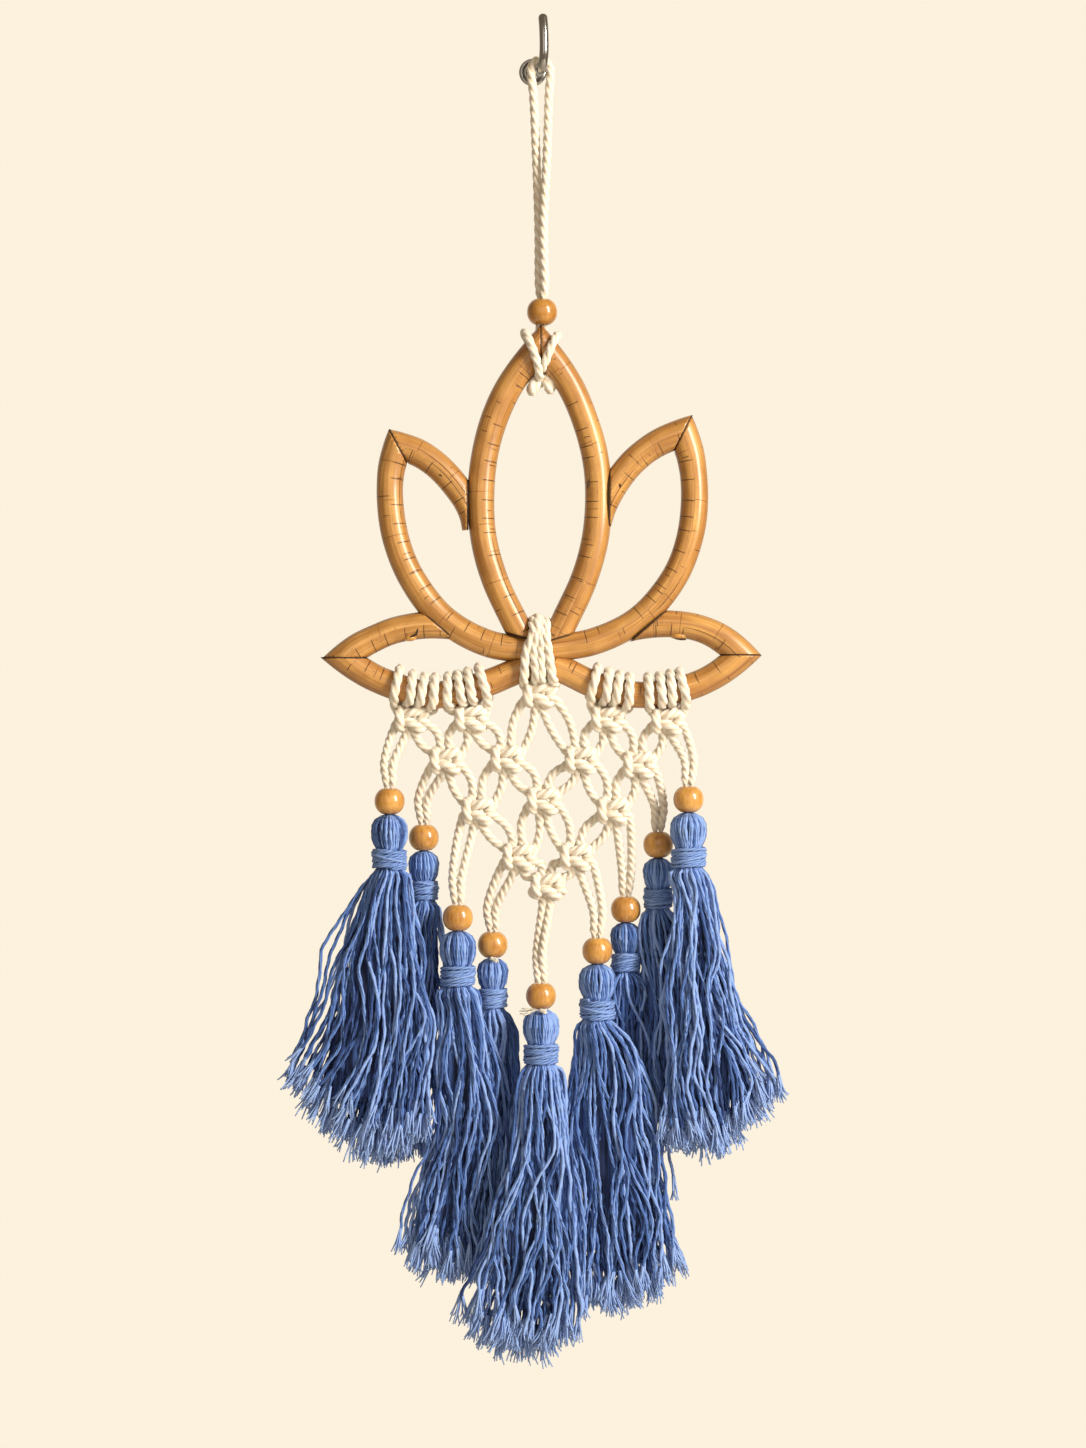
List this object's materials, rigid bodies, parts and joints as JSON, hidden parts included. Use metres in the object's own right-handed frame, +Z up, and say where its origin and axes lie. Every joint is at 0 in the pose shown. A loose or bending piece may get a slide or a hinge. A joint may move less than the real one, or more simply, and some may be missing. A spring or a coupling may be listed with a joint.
{
  "type": "dreamcatcher and wall hook",
  "caption": "Lotus-shaped bent-cane frame with a knotted cotton net, wooden beads and blue yarn tassels, hung by a cotton cord loop from a steel wall hook.",
  "frame": {"origin": "centre of the back face of the hook's flange, on the wall", "axes": "+Z up, +Y into the wall, so the hanging is in front of the wall at negative Y; +X to the right as seen from the front"},
  "size_m": [0.232, 0.044, 0.634],
  "materials": {
    "hook_steel": "polished",
    "cane": "varnished honey tan",
    "bead_wood": "varnished",
    "cotton_cord": "twisted, matt",
    "tassel_yarn": "loose yarn, matt",
    "binding_yarn": "wound yarn, matt"
  },
  "bodies": {
    "root": {"wall_hook": "hook_steel", "hanging_cord": "cotton_cord", "top_bead": "bead_wood", "cane_centre_left": "cane", "cane_centre_right": "cane", "cane_side_left_outer": "cane", "cane_side_left_inner": "cane", "cane_side_right_outer": "cane", "cane_side_right_inner": "cane", "cane_low_left_upper": "cane", "cane_low_left_lower": "cane", "cane_low_right_upper": "cane", "cane_low_right_lower": "cane", "macrame_net": "cotton_cord", "bead_1": "bead_wood", "tassel_1": "tassel_yarn", "binding_1": "binding_yarn", "bead_2": "bead_wood", "tassel_2": "tassel_yarn", "binding_2": "binding_yarn", "bead_3": "bead_wood", "tassel_3": "tassel_yarn", "binding_3": "binding_yarn", "bead_4": "bead_wood", "tassel_4": "tassel_yarn", "binding_4": "binding_yarn", "bead_5": "bead_wood", "tassel_5": "tassel_yarn", "binding_5": "binding_yarn", "bead_6": "bead_wood", "tassel_6": "tassel_yarn", "binding_6": "binding_yarn", "bead_7": "bead_wood", "tassel_7": "tassel_yarn", "binding_7": "binding_yarn", "bead_8": "bead_wood", "tassel_8": "tassel_yarn", "binding_8": "binding_yarn", "bead_9": "bead_wood", "tassel_9": "tassel_yarn", "binding_9": "binding_yarn"}
  },
  "joints": []
}
